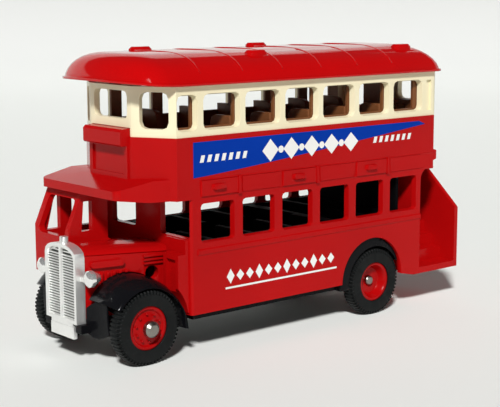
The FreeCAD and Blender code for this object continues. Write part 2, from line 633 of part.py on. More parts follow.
def roof_outline(z, t, inset=0.0):
    """Outline at level t: bowed front, rounded front and rear corners, straight rear."""
    f = ROOF
    g = 1 - t ** f["bulge"]
    half = f["half"] * g ** (1 / f["side_root"]) - inset
    front = f["front"] - f["front_run"] * (1 - g ** (1 / f["front_root"])) - inset
    rear = f["rear"] + f["rear_run"] * (1 - g ** (1 / f["rear_root"])) + inset
    rf, rr = [f[n] * half / f["half"] for n in ("front_r", "rear_r")]
    a = f["bow_angle"]
    bow = (half - rf) / math.sin(math.radians(a)) + rf
    x_corner = front - bow + (bow - rf) * math.cos(math.radians(a))
    left = arc_pts(front - bow, 0, bow, 0, a, 3)[1:]
    left += arc_pts(x_corner, half - rf, rf, a, 90, 4)[1:]
    left += arc_pts(rear + rr, half - rr, rr, 90, 180, 3)
    right = [(x, -y) for x, y in reversed(left)]
    return [(x, y, z) for x, y in [(front, 0)] + left + right]


def roof_loft(levels, inset=0.0, drop=0.0):
    """Dome from the eave to the crown, or its inside when inset and dropped."""
    z0 = EAVE_Z + ROOF_SEAT + ROOF["eave"]
    z1 = EAVE_Z + ROOF_SEAT + ROOF_H - drop
    rows = []
    for k in range(levels + 1):
        t = math.sin(math.radians(89.0 * k / levels)) * 0.985
        rows.append(roof_outline(z0 + t * (z1 - z0), t, inset))
    return loft(rows)


def roof_height(x, y):
    """Height of the dome at a place behind the front corners."""
    f = ROOF
    side = 1 - (abs(y) / f["half"]) ** f["side_root"]
    run = min(1.0, (x - f["rear"]) / f["rear_run"])
    rear = 1 - (1 - run) ** f["rear_root"]
    level = min(side, rear) ** (1 / f["bulge"])
    return EAVE_Z + ROOF_SEAT + f["eave"] + (ROOF_H - f["eave"]) * level


def vent_dome(x, y):
    """Rounded ventilator standing on the roof."""
    v = VENT
    z = roof_height(x, y)
    rows = []
    for grow, up in ((0.0, -1.2), (0.0, v["rise"] - v["top"]), (-v["top"], v["rise"])):
        r = v["width"] / 2 + grow
        half = v["length"] / 2 + grow - r
        row = arc_pts(x + half, y, r, -90, 90, 5) + arc_pts(x - half, y, r, 90, 270, 5)
        rows.append([(a, b, z + up) for a, b in row])
    return loft(rows)


def eave_line(up):
    """Side view of the eave, raised by up: level along the sides, rising at the front."""
    z = EAVE_Z + ROOF_SEAT + up
    w = ROOF_SWEEP
    x1 = ROOF["front"] + ROOF_RIM["out"]
    x0 = x1 - w["length"]
    return [(PLAT_REAR, z), (x0, z), (x0 + w["length"] / 2, z + 0.3 * w["rise"]),
            (x1, z + w["rise"]), (x1 + 1, z + w["rise"])]


def roof_shape():
    z0 = EAVE_Z + ROOF_SEAT
    dome = roof_loft(ROOF["levels"])
    rim = prism_z([p[:2] for p in roof_outline(z0, 0.0, -ROOF_RIM["out"])], z0,
                  z0 + ROOF_RIM["height"] + ROOF_SWEEP["rise"])
    strip = prism_y(eave_line(0.0) + eave_line(ROOF_RIM["height"])[::-1], -HALF_W - 1, HALF_W + 1)
    inside = roof_loft(4, ROOF_T, ROOF_T)
    under = eave_line(0.0)
    below = prism_y(under + [(under[-1][0], z0 - 5), (PLAT_REAR, z0 - 5)], -2 * HALF_W, 2 * HALF_W)
    vents = [vent_dome(v["x"], v["y"]) for v in ROOF_VENTS]
    return cut(fuse([dome, rim.common(strip)] + vents), [inside, below])


# ---------------------------------------------------------------- brown upper-deck moulding
SEAT_IN = dict(floor=1.0, rail_t=0.55, rail=1.3, post=2.0, gap=0.1, aisle=5.2, back_t=1.0,
               back=2.42, cushion=3.4, cushion_up=5.9, r=1.2, far=4.28, near=6.78)
SEAT_ROWS = 6
REAR_PANEL = dict(half=3.5, t=0.7, corner=0.75, corner_end=2.9)
BENCH = dict(inner=2.0, outer=8.5, t=0.8, hole=6.4, top_bar=0.8)


def seat_shape():
    s = SEAT_IN
    floor = prism_z(deck_plan(WALL + s["gap"], UPPER_REAR + WALL + s["gap"]), DECK_Z1,
                    DECK_Z1 + s["floor"])
    edge = HALF_W - FRAME_IN - FRAME_T - s["gap"]
    rail_in = edge - s["rail_t"]
    rear = UPPER_REAR + WALL + s["gap"]
    wins = frame_windows()
    z0 = DECK_Z1 + s["floor"] / 2
    rail_top = WAIST_TOP + s["rail"]
    front = CORNER_X - 1.0
    p = REAR_PANEL
    rail_rear = rear + p["corner_end"]
    parts = [floor] + both(box(rail_rear - 0.1, front, rail_in, edge, z0, rail_top))
    for (a1, a0), (b1, b0) in zip(wins, wins[1:]):
        x = (a0 + b1) / 2
        parts += both(box(x - s["post"] / 2, x + s["post"] / 2, rail_in, edge, z0,
                          EAVE_Z - s["gap"]))
    top = WAIST_TOP + s["back"]
    r = s["r"]
    back = [(rail_in, z0), (rail_in, top)] + arc_pts(s["aisle"] + r, top - r, r, 90, 180, 2)
    back.append((s["aisle"], z0))
    x_pillar = (wins[0][1] + wins[1][0]) / 2
    for k in range(SEAT_ROWS):
        for side, ahead in ((-1, s["far"]), (1, s["near"])):
            x = x_pillar - ahead - PITCH * k
            if x - s["back_t"] < rail_rear:
                continue
            plan = [(side * y, z) for y, z in back]
            parts.append(prism_x(plan, x - s["back_t"], x))
            y0, y1 = sorted((side * s["aisle"], side * rail_in))
            parts.append(box(x - s["back_t"], x + s["cushion"], y0, y1, z0,
                             DECK_Z1 + s["cushion_up"]))
    parts.append(box(rear, rear + p["t"], -p["half"], p["half"], z0, EAVE_Z - s["gap"]))
    parts += both(box(rear + p["corner"], rail_rear, rail_in, edge, z0, EAVE_Z - s["gap"]))
    b = BENCH
    bench = box(rear, rear + b["t"], b["inner"], b["outer"], z0, top)
    hole = box(rear - 1, rear + b["t"] + 1, p["half"] + 0.3, b["hole"], z0 + 2.0,
               top - b["top_bar"])
    parts.append(cut(bench, [hole]))
    return fuse(parts)


# ---------------------------------------------------------------- black lower interior
BACK_FLOOR = dict(up=0.25, t=1.0)                # shelf over the rear wheels
BACK_SEAT = dict(ahead=4.6, t=1.0)
PARTITION = dict(ahead=0.3, t=0.6, top=0.2)
SALOON_WALL = 0.8        # black lining under the lower windows
LOWER_SEATS = dict(rows=4, ahead=4.6, aisle=1.6, back_t=1.0, back_top=17.0, cushion=3.4,
                   cushion_top=12.0, floor=1.0, front=1.2)


def saloon_shape():
    s = LOWER_SEATS
    lim = SIDE_IN - INSERT_FIT
    x0 = AXLE_X["rear"] + ARCH_AHEAD + ARCH_R + 0.4
    x1 = BODY_FRONT - s["front"]
    parts = [box(x0, x1, -lim, lim, BASE_Z1, BASE_Z1 + s["floor"])]
    for k in range(s["rows"]):
        x = BODY_FRONT - s["ahead"] - PITCH * k
        if x - s["back_t"] < x0:
            continue
        for part in (box(x - s["back_t"], x, s["aisle"], lim - 0.1, BASE_Z1, s["back_top"]),
                     box(x - s["back_t"], x + s["cushion"], s["aisle"], lim - 0.1, BASE_Z1,
                         s["cushion_top"])):
            parts += both(part)
    f = BACK_FLOOR
    z0 = SIDE_BOTTOM + ARCH_R + f["up"]
    rear = POSTS[1]["x"] + POST_R + PARTITION["ahead"]
    parts.append(box(rear, x0 + 1.0, -lim, lim, z0, z0 + f["t"]))
    parts.append(box(x0, x0 + 1.0, -lim, lim, BASE_Z1, s["back_top"]))
    parts.append(box(rear, rear + PARTITION["t"], -lim, lim, z0, DECK_Z0 - PARTITION["top"]))
    for x in (rear + PITCH, rear + PARTITION["t"] + BACK_SEAT["t"]):
        parts += both(box(x - BACK_SEAT["t"], x, s["aisle"], lim - 0.1, z0, s["back_top"]))
    wall = prism_y([(rear, z0), (x0, z0), (x0, BASE_Z1), (x1, BASE_Z1), (x1, s["back_top"]),
                    (rear, s["back_top"])], lim - SALOON_WALL, lim)
    parts += both(wall)
    return cut(fuse(parts), [post(p["x"], POST_FIT, 0, DECK_Z0) for p in POSTS])


# ---------------------------------------------------------------- black base
WING_FRONT, WING_TAIL = 56.0, 100.0      # sweep of a mudguard from its top, degrees
WING_SPREAD = 45.0       # from there the lip spreads towards the tail
WING_STEPS = 12
WEB_T = 0.4
LUG = dict(half=1.8, below=1.1, above=1.2, room=0.6)
FLOOR_WIDE = 10.4        # wide middle of the base, inside the saloon
HORN = dict(inner=3.4, width=1.5, length=2.9, height=1.3, behind=0.3)


def mudguard():
    """Front mudguard swept round the axle, with the web that carries it beside the bonnet."""
    x = AXLE_X["front"]
    rows = []
    for k in range(WING_STEPS + 1):
        angle = WING_FRONT - (WING_FRONT + WING_TAIL) * k / WING_STEPS
        tail = max(0.0, (-angle - WING_SPREAD) / (WING_TAIL - WING_SPREAD))
        a = math.radians(angle)
        rows.append([(x + r * math.sin(a), y, AXLE_Z + r * math.cos(a))
                     for y, r in wing_section(tail)])
    r = TYRE_R + WING_GAP + WING_CROWN / 2
    sector = [(x, AXLE_Z)] + arc_pts(x, AXLE_Z, r, 90 - WING_FRONT, 90 + WING_TAIL, 8)
    return loft(rows).fuse(prism_y(sector, WING_IN, WING_IN + WEB_T))


def arch_lining():
    """Black lining between the arch of the body side and the rear wheel."""
    x = AXLE_X["rear"]
    y1 = HALF_W - LINER_DEEP
    outer = cyl_y(x + ARCH_AHEAD, SIDE_BOTTOM, ARCH_R - RUN_CLEAR, WING_IN, y1)
    wheel = cyl_y(x, AXLE_Z, TYRE_R + LINER_GAP, WING_IN - 1, HALF_W)
    below = box(x - 2 * ARCH_R, x + 2 * ARCH_R, WING_IN - 1, HALF_W, -ARCH_R, BASE_Z0 + 0.3)
    behind = box(x - 2 * ARCH_R, x, WING_IN - 1, HALF_W, -ARCH_R, SIDE_BOTTOM + LINER_REAR)
    return cut(outer, [wheel, below, behind])


def base_shape():
    ends = ("front", "rear")
    h = HORN
    horn = box(RAD_X - h["behind"] - h["length"], RAD_X - h["behind"], h["inner"],
               h["inner"] + h["width"], BASE_Z0 - 0.1, BASE_Z0 - 0.1 + h["height"])
    x0 = AXLE_X["rear"] + ARCH_AHEAD + ARCH_R - 0.3
    parts = [box(BODY_REAR + 1.1, RAD_BACK - 1.0, -BASE_HALF, BASE_HALF, BASE_Z0, BASE_Z1),
             box(x0, BODY_FRONT - 1.2, -FLOOR_WIDE, FLOOR_WIDE, BASE_Z0 + 0.5, BASE_Z1)]
    parts += both(arch_lining()) + both(horn)
    g = LUG
    lug_top, lug_low = BASE_Z1 + g["above"], BASE_Z0 - g["below"]
    rooms = []
    for end in ends:
        x = AXLE_X[end]
        parts += both(box(x - g["half"], x + g["half"], LUG_Y, LUG_Y + LUG_T, lug_low, lug_top))
        w = g["half"] + g["room"]
        rooms.append(box(x - w, x + w, -LUG_Y, LUG_Y, lug_low - 1, lug_top + 1))
        rooms += both(box(x - w, x + w, LUG_Y + LUG_T, HALF_W, lug_low - 1, BASE_Z1 + 0.4))
    s = cut(fuse(parts), rooms)
    s = fuse([s] + both(mudguard()))
    bores = [cyl_y(AXLE_X[end], AXLE_Z, AXLE_R + RUN_CLEAR, -HALF_W, HALF_W) for end in ends]
    return cut(s, bores + [post(p["x"], POST_FIT, 0, DECK_Z0) for p in POSTS])


# ---------------------------------------------------------------- bright radiator piece
RAD = dict(bottom=5.9, shoulder=15.6, top=17.5, rim=0.55, bar=0.55, deep=0.6, tooth=0.45, slats=24)
RAD_CAP = dict(r=0.62, up=0.85)
RAD_PLATE = dict(left=3.3, right=2.9, z0=3.6, z1=5.35, t=0.6)
LAMP = dict(y=6.4, z=13.0, r=1.25, length=2.3, front=0.25, arm=0.7)


def radiator_outline(inset):
    w, b = RAD_HALF - inset, RAD["bottom"]
    rise = RAD["top"] - RAD["shoulder"]
    arch = [(w * math.cos(math.radians(a)), RAD["shoulder"] - inset / 2
             + (rise - inset / 2) * math.sin(math.radians(a)) ** 0.8) for a in range(0, 181, 18)]
    return [(-w, b + inset)] + [(w, b + inset)] + arch


def slat_panel():
    """Sawtooth face of overlapping slats, seated in one half of the radiator."""
    r = RAD
    y0, y1 = r["bar"] / 2, RAD_HALF - r["rim"]
    z0, z1 = r["bottom"] + r["rim"], r["shoulder"] + 0.5
    pitch = (z1 - z0) / r["slats"]
    x_in = RAD_X - r["deep"]
    prof = [(x_in - 0.5, z0)]
    for k in range(r["slats"]):
        z = z0 + pitch * k
        prof += [(x_in + r["tooth"], z), (x_in, z + 0.75 * pitch)]
    prof += [(x_in, z1), (x_in - 0.5, z1)]
    return prism_y(prof, y0 - 0.1, y1 + 0.1)


def lamp(side):
    """Bullet headlamp on a bracket from the radiator."""
    p = LAMP
    x1 = RAD_X - p["front"]
    y = side * p["y"]
    r = p["r"]
    prof = [(x1 - p["length"], 0.0), (x1 - p["length"], 0.45 * r), (x1 - 1.1, r),
            (x1 - 0.5, 0.97 * r), (x1 - 0.12, 0.6 * r), (x1, 0.0)]
    shell = poly([(x, y, p["z"] + r) for x, r in prof])
    shell = shell.revolve(V(0, y, p["z"]), V(1, 0, 0), 360)
    y0, y1 = sorted((side * (RAD_HALF - 0.4), y))
    arm = box(RAD_BACK + 0.1, RAD_BACK + 0.1 + p["arm"], y0, y1, p["z"] - p["arm"], p["z"])
    return [shell, arm]


def radiator_shape():
    r = RAD
    shell = prism_x(radiator_outline(0.0), RAD_BACK, RAD_X)
    opening = prism_x(radiator_outline(r["rim"]), RAD_X - r["deep"] - 0.05, RAD_X + 1)
    side = box(RAD_BACK, RAD_X + 2, r["bar"] / 2, RAD_HALF, 0, r["top"])
    recess = opening.common(side)
    slats = slat_panel().common(prism_x(radiator_outline(r["rim"] - 0.1), RAD_BACK, RAD_X))
    cap = cyl_z((RAD_BACK + RAD_X) / 2, 0, RAD_CAP["r"], r["top"] - 0.4, r["top"] + RAD_CAP["up"])
    p = RAD_PLATE
    plate = box(RAD_X - p["t"], RAD_X, -p["right"], p["left"], p["z0"], p["z1"])
    ledge = box(RAD_BACK + 0.2, RAD_X - 0.1, -p["right"], p["left"] - 0.4, p["z1"] - 0.6,
                r["bottom"] + 0.1)
    shell = cut(shell, both(recess))
    return fuse([shell, cap, plate, ledge] + both(slats) + lamp(1) + lamp(-1))


# ---------------------------------------------------------------- wheels
TREAD_EDGE = 0.6         # rounded-off edge of the tread
DISH = {"front": dict(ring=0.5, step=0.35, cone=1.45, cone_in=0.1, boss=0.3),
        "rear": dict(ring=0.5, step=0.0, cone=RIM_R - 1.1, cone_in=1.3, boss=-1.4)}


def tyre_shape(x, side):
    y0, y1 = TYRE_OUT - TYRE_W, TYRE_OUT
    e = TREAD_EDGE
    s = revolve_y([(y0, RIM_R), (y0, TYRE_R - e), (y0 + e, TYRE_R), (y1 - e, TYRE_R),
                   (y1, TYRE_R - e), (y1, RIM_R)], x, AXLE_Z)
    return s if side > 0 else mirror_y(s)


def hub_shape(x, side, kind):
    d = DISH[kind]
    y0, y1 = TYRE_OUT - TYRE_W + 0.15, RIM_OUT
    prof = [(y0, AXLE_R), (y0, RIM_R), (y1, RIM_R), (y1, RIM_R - d["ring"])]
    if d["step"]:
        prof.append((y1 - d["step"], RIM_R - d["ring"] - 0.2))
    prof += [(y1 - d["cone_in"], d["cone"]), (y1 + d["boss"], AXLE_R)]
    s = revolve_y(prof, x, AXLE_Z)
    return s if side > 0 else mirror_y(s)


def axle_shape(x, end):
    """Axle; the front one has a riveted head at both ends."""
    out = RIM_OUT + AXLE_END[end]
    head = AXLE_HEAD[end]
    y0 = RIM_OUT + DISH[end]["boss"] + RUN_CLEAR
    if not head:
        s = cyl_y(x, AXLE_Z, AXLE_R, -out, out)
        return s.makeChamfer(0.2, [e for e in s.Edges if len(e.Vertexes) == 1])
    half = [(y0, AXLE_R), (y0, head), (out - 0.45, head), (out, head - 0.45)]
    left = [(-y, r) for y, r in reversed(half)]
    return revolve_y([(-out, 0.0)] + left + half + [(out, 0.0)], x, AXLE_Z)


# ---------------------------------------------------------------- write
def export(name, shape):
    if not shape.isValid():
        raise SystemExit("bad shape " + name)
    if len(shape.Solids) != 1:
        raise SystemExit("%s has %d solids" % (name, len(shape.Solids)))
    shape.Solids[0].exportStep("parts/%s.step" % name)


export("body", body_shape())
export("upper_window_frame", window_frame())
export("roof", roof_shape())
export("upper_seats", seat_shape())
export("lower_saloon_insert", saloon_shape())
export("base", base_shape())
export("radiator", radiator_shape())
for end in ("front", "rear"):
    export("axle_" + end, axle_shape(AXLE_X[end], end))
    for side_name, s in (("left", 1), ("right", -1)):
        export("tyre_%s_%s" % (end, side_name), tyre_shape(AXLE_X[end], s))
        export("hub_%s_%s" % (end, side_name), hub_shape(AXLE_X[end], s, end))
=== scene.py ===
import json
import math

import bpy
import bmesh
from mathutils import Matrix, Vector


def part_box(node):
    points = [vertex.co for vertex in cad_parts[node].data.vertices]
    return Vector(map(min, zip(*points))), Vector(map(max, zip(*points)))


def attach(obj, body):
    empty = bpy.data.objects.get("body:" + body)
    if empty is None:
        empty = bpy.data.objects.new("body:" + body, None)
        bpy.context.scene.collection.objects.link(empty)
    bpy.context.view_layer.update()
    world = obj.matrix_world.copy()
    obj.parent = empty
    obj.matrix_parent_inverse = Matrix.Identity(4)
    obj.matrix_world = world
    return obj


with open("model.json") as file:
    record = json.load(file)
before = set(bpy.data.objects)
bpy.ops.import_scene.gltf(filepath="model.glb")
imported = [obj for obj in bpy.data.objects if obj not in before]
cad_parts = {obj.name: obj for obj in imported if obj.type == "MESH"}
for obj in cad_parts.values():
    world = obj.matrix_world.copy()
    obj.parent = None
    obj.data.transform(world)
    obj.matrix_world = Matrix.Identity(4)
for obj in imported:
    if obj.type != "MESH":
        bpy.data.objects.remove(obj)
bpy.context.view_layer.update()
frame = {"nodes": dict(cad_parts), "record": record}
MM = 0.001                       # sizes are in mm, apart from the backdrop's, which are in metres


# ---------------------------------------------------------------- shader helpers
def new_material(name):
    """A material, its node tree and its Principled shader."""
    material = bpy.data.materials.new(name)
    material.use_nodes = True
    tree = material.node_tree
    return material, tree, tree.nodes["Principled BSDF"]


def noise(tree, scale, detail=4.0):
    """Noise laid out in the object's own coordinates."""
    coords = tree.nodes.new("ShaderNodeTexCoord")
    node = tree.nodes.new("ShaderNodeTexNoise")
    node.inputs["Scale"].default_value = scale
    node.inputs["Detail"].default_value = detail
    node.inputs["Roughness"].default_value = 0.55
    tree.links.new(coords.outputs["Object"], node.inputs["Vector"])
    return node.outputs["Fac"]


def axes(tree, kind="Object"):
    """Sockets X, Y and Z of the object's own coordinates, or of another kind."""
    coords = tree.nodes.new("ShaderNodeTexCoord")
    split = tree.nodes.new("ShaderNodeSeparateXYZ")
    tree.links.new(coords.outputs[kind], split.inputs[0])
    return split.outputs


def ramp(tree, source, stops):
    """Colour that follows a value; stops are (position, colour) in rising order."""
    node = tree.nodes.new("ShaderNodeValToRGB")
    elements = node.color_ramp.elements
    for element, (position, colour) in zip(elements, (stops[0], stops[-1])):
        element.position = position
        element.color = (*colour, 1)
    for position, colour in stops[1:-1]:
        elements.new(position).color = (*colour, 1)
    tree.links.new(source, node.inputs["Fac"])
    return node.outputs["Color"]


def map_range(tree, source, to_min, to_max, from_min=0.0, from_max=1.0):
    """A value carried from one range to another, and held at its ends."""
    node = tree.nodes.new("ShaderNodeMapRange")
    node.inputs["From Min"].default_value = from_min
    node.inputs["From Max"].default_value = from_max
    node.inputs["To Min"].default_value = to_min
    node.inputs["To Max"].default_value = to_max
    tree.links.new(source, node.inputs["Value"])
    return node.outputs["Result"]


def math_node(tree, operation, a, b=None):
    """Result of one operation on sockets or numbers."""
    node = tree.nodes.new("ShaderNodeMath")
    node.operation = operation
    for k, value in enumerate((a, b)):
        if isinstance(value, (int, float)):
            node.inputs[k].default_value = value
        elif value is not None:
            tree.links.new(value, node.inputs[k])
    return node.outputs[0]


def bump(tree, shader, source, strength, distance):
    """Unevenness of a shader's surface that follows a value."""
    node = tree.nodes.new("ShaderNodeBump")
    node.inputs["Strength"].default_value = strength
    node.inputs["Distance"].default_value = distance
    tree.links.new(source, node.inputs["Height"])
    tree.links.new(node.outputs["Normal"], shader.inputs["Normal"])


# ---------------------------------------------------------------- materials
# scales, per metre, of the noise in the colour and gloss of paint and plastic, in metal and rubber
COLOUR_NOISE, GLOSS_NOISE, METAL_NOISE, RUBBER_NOISE = 60.0, 140.0, 300.0, 220.0
PAINT_GLOSS = (0.8, 1.3)         # shares of the roughness between which paint and plastic vary
METAL_GLOSS = (0.7, 1.4)         # and metal
GRAIN = 0.02 * MM                # depth of the fine unevenness of paint, plastic and metal


def enamel(name, dark, light, rough, spec=0.3, coat=0.0, orange=0.12, scale=900.0):
    """Paint or plastic between two colours; orange is the strength of its orange peel."""
    material, tree, shader = new_material(name)
    colour = ramp(tree, noise(tree, COLOUR_NOISE), [(0.3, dark), (0.7, light)])
    tree.links.new(colour, shader.inputs["Base Color"])
    smooth, dull = (rough * share for share in PAINT_GLOSS)
    roughness = map_range(tree, noise(tree, GLOSS_NOISE, 3.0), smooth, dull)
    tree.links.new(roughness, shader.inputs["Roughness"])
    shader.inputs["Coat Weight"].default_value = coat
    shader.inputs["Coat Roughness"].default_value = 0.06
    shader.inputs["Specular IOR Level"].default_value = spec
    bump(tree, shader, noise(tree, scale, 2.0), orange, GRAIN)
    return material


def metal(name, colour, rough):
    """Bare or plated metal with a fine grain."""
    material, tree, shader = new_material(name)
    grain = noise(tree, METAL_NOISE)
    worn = tuple(c * 0.9 for c in colour)
    tree.links.new(ramp(tree, grain, [(0.3, worn), (0.7, colour)]), shader.inputs["Base Color"])
    shader.inputs["Metallic"].default_value = 1.0
    smooth, dull = (rough * share for share in METAL_GLOSS)
    tree.links.new(map_range(tree, grain, smooth, dull), shader.inputs["Roughness"])
    bump(tree, shader, grain, 0.1, GRAIN)
    return material


# the tread: ribs round the tyre, the radii between which their bump sets in, and its depth
TREAD = dict(ribs=56, inner=4.9, outer=5.25, depth=0.12)
RUBBER = [(0.3, (0.005, 0.006, 0.006)), (0.7, (0.009, 0.010, 0.010))]


def tyre_look(end):
    """Rubber with notches across the tread, laid out round the axle."""
    lo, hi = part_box("axle_" + end)
    material, tree, shader = new_material("tyre_look_" + end)
    tree.links.new(ramp(tree, noise(tree, RUBBER_NOISE), RUBBER), shader.inputs["Base Color"])
    shader.inputs["Roughness"].default_value = 0.55
    shader.inputs["Specular IOR Level"].default_value = 0.12
    place = axes(tree)
    dx = math_node(tree, "SUBTRACT", place["X"], (lo[0] + hi[0]) / 2)
    dz = math_node(tree, "SUBTRACT", place["Z"], (lo[2] + hi[2]) / 2)
    angle = math_node(tree, "ARCTAN2", dz, dx)
    wave = math_node(tree, "SINE", math_node(tree, "MULTIPLY", angle, float(TREAD["ribs"])))
    square = math_node(tree, "ADD", math_node(tree, "MULTIPLY", dx, dx),
                       math_node(tree, "MULTIPLY", dz, dz))
    radius = math_node(tree, "SQRT", square)
    edge = map_range(tree, radius, 0.0, 1.0, TREAD["inner"] * MM, TREAD["outer"] * MM)
    bump(tree, shader, math_node(tree, "MULTIPLY", wave, edge), 0.9, TREAD["depth"] * MM)
    return material


# the recess of the radiator: half width, lower edge, top and its fall to the sides, x of its
# grooves and slats, z and pitch of the slats, and where the lamps begin and the satin ends
GRILLE = dict(half=3.65, bottom=6.4, top=16.75, arch=0.08, groove=36.76, slat=36.86, first=6.45,
              last=16.0, pitch=0.402, lamp_in=4.3, lamp_out=4.7)
# painted shade: the near-black colour laid into the radiator's grooves between its slats
GROOVE_PAINTED_SHADE = (0.02, 0.022, 0.02, 1)


def grille_painted_shade_mask(tree, place, across):
    """Mask of painted shade: 1 deep in the grooves between the radiator's slats, fading to 0 at the
    slats' fronts, and 0 elsewhere.
    """
    g = GRILLE
    inside = math_node(tree, "LESS_THAN", across, g["half"] * MM)
    above = math_node(tree, "GREATER_THAN", place["Z"], g["bottom"] * MM)
    fall = math_node(tree, "MULTIPLY", math_node(tree, "MULTIPLY", across, across), g["arch"] / MM)
    below = math_node(tree, "LESS_THAN", math_node(tree, "ADD", place["Z"], fall), g["top"] * MM)
    recess = math_node(tree, "MULTIPLY", math_node(tree, "MULTIPLY", inside, above), below)
    # the painted shade is full at the bottom of a groove and fades out towards the slats' fronts
    depth = map_range(tree, place["X"], 1.0, 0.0, g["groove"] * MM, g["slat"] * MM)
    step = math_node(tree, "DIVIDE", math_node(tree, "SUBTRACT", place["Z"], g["first"] * MM),
                     g["pitch"] * MM)
    gap = math_node(tree, "GREATER_THAN", math_node(tree, "FRACT", step), 0.5)
    slatted = math_node(tree, "LESS_THAN", place["Z"], g["last"] * MM)
    shade = math_node(tree, "MULTIPLY", recess, depth)
    return math_node(tree, "MULTIPLY", shade, math_node(tree, "MAXIMUM", gap, slatted))


def plating_look():
    """Bright plating: satin on the grille, with painted shade between its slats, mirror-like on the
    lamps.
    """
    material = metal("plating_look", (0.96, 0.96, 0.94), 0.16)
    tree = material.node_tree
    shader = tree.nodes["Principled BSDF"]
    plated = shader.inputs["Base Color"].links[0].from_socket
    place = axes(tree)
    across = math_node(tree, "ABSOLUTE", place["Y"])
    # mix the painted shade of the grooves into the plating's colour
    mix = tree.nodes.new("ShaderNodeMix")
    mix.data_type = "RGBA"
    tree.links.new(grille_painted_shade_mask(tree, place, across), mix.inputs["Factor"])
    tree.links.new(plated, mix.inputs["A"])
    mix.inputs["B"].default_value = GROOVE_PAINTED_SHADE
    tree.links.new(mix.outputs["Result"], shader.inputs["Base Color"])
    shader.inputs["Metallic"].default_value = 0.8
    satin = map_range(tree, across, 0.34, 0.09, GRILLE["lamp_in"] * MM, GRILLE["lamp_out"] * MM)
    tree.links.new(satin, shader.inputs["Roughness"])
    return material


RED = enamel("red_enamel_look", (0.38, 0.002, 0.0025), (0.43, 0.003, 0.0035), rough=0.17, spec=0.10)
RED_PLASTIC = enamel("red_plastic_look", (0.44, 0.0015, 0.002), (0.49, 0.002, 0.0025), rough=0.06,
                     spec=0.25, orange=0.05)
HUB_RED = enamel("hub_red_look", (0.33, 0.0015, 0.002), (0.38, 0.002, 0.0025), rough=0.22,
                 spec=0.12, orange=0.2)
CREAM = enamel("cream_plastic_look", (0.80, 0.72, 0.48), (0.86, 0.79, 0.56), rough=0.3, coat=0.1)
BROWN = enamel("brown_plastic_look", (0.15, 0.052, 0.016), (0.19, 0.068, 0.022), rough=0.4)
BLACK = enamel("black_plastic_look", (0.0015, 0.0015, 0.002), (0.003, 0.003, 0.0035), rough=0.6,
               spec=0.03)
BLACK_GLOSS = enamel("black_gloss_look", (0.003, 0.003, 0.004), (0.006, 0.006, 0.007), rough=0.11,
                     spec=0.08, orange=0.5, scale=500.0)
BLUE = enamel("blue_print_look", (0.0005, 0.030, 0.29), (0.001, 0.036, 0.33), rough=0.5, spec=0.04)
WHITE = enamel("white_print_look", (0.78, 0.77, 0.74), (0.84, 0.83, 0.80), rough=0.35)
STEEL = metal("steel_look", (0.30, 0.29, 0.26), 0.30)
CHROME = plating_look()
TYRES = {end: tyre_look(end) for end in ("front", "rear")}
SLOT_LOOKS = {"red_enamel": RED, "red_gloss_plastic": RED_PLASTIC, "cream_plastic": CREAM,
              "brown_plastic": BROWN, "black_plastic": BLACK, "black_gloss_plastic": BLACK_GLOSS,
              "plated_plastic": CHROME, "steel": STEEL}
slots = {part["node"]: part["material_slot"] for part in frame["record"]["subparts"]}


def look_of(name):
    """Material of a CAD piece, from its slot in the record."""
    if slots[name] == "tyre_rubber":
        return TYRES[name.split("_")[1]]
    if name.startswith("hub_"):
        return HUB_RED
    return SLOT_LOOKS[slots[name]]


# ---------------------------------------------------------------- the CAD pieces
ROUNDING = {"body": 0.16, "upper_window_frame": 0.16, "roof": 0.10, "base": 0.10, "radiator": 0.06}
SMALL_ROUNDING = 0.08            # for every other piece
SHARP_EDGE = 32.0                # degrees between faces, from which an edge is rounded
FLAT_WEIGHT = 80                 # how much the large faces lead the shading of a rounded edge
WELD_GAP = 0.002


def round_edges(ob, width, angle):
    """Small rounding of all edges sharper than an angle in degrees."""
    bevel = ob.modifiers.new("edges", "BEVEL")
    bevel.width = width * MM
    bevel.segments = 2
    bevel.limit_method = "ANGLE"
    bevel.angle_limit = math.radians(angle)
    bevel.harden_normals = True


for name, ob in frame["nodes"].items():
    ob.data.materials.clear()
    ob.data.materials.append(look_of(name))
    for poly in ob.data.polygons:
        poly.use_smooth = True
    weld = ob.modifiers.new("joined_faces", "WELD")
    weld.merge_threshold = WELD_GAP * MM
    round_edges(ob, ROUNDING.get(name, SMALL_ROUNDING), SHARP_EDGE)
    if name != "roof":
        flat = ob.modifiers.new("flat_panels", "WEIGHTED_NORMAL")
        flat.weight = FLAT_WEIGHT


# ---------------------------------------------------------------- mesh helpers
def object_from(bm, name, smooth=False):
    """Linked object from a bmesh, which is freed."""
    mesh = bpy.data.meshes.new(name)
    bm.to_mesh(mesh)
    bm.free()
    for poly in mesh.polygons:
        poly.use_smooth = smooth
    ob = bpy.data.objects.new(name, mesh)
    bpy.context.scene.collection.objects.link(ob)
    return ob


def mesh_piece(name, verts, faces, look, body, smooth=False):
    """A piece from vertices in mm that rides one body."""
    bm = bmesh.new()
    points = [bm.verts.new([c * MM for c in v]) for v in verts]
    for face in faces:
        bm.faces.new([points[k] for k in face])
    bmesh.ops.recalc_face_normals(bm, faces=bm.faces)
    ob = object_from(bm, name, smooth)
    ob.data.materials.append(look)
    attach(ob, body)
    return ob


def sheet_faces(first, across, along):
    """Quads of a grid of vertices, numbered row by row from the first."""
    return [(first + across * k + j, first + across * k + j + 1,
             first + across * (k + 1) + j + 1, first + across * (k + 1) + j)
            for k in range(along - 1) for j in range(across - 1)]


def tube_faces(first, around):
    """Quads between two rings of vertices that follow each other."""
    return [(first + j, first + (j + 1) % around, first + around + (j + 1) % around,
             first + around + j) for j in range(around)]


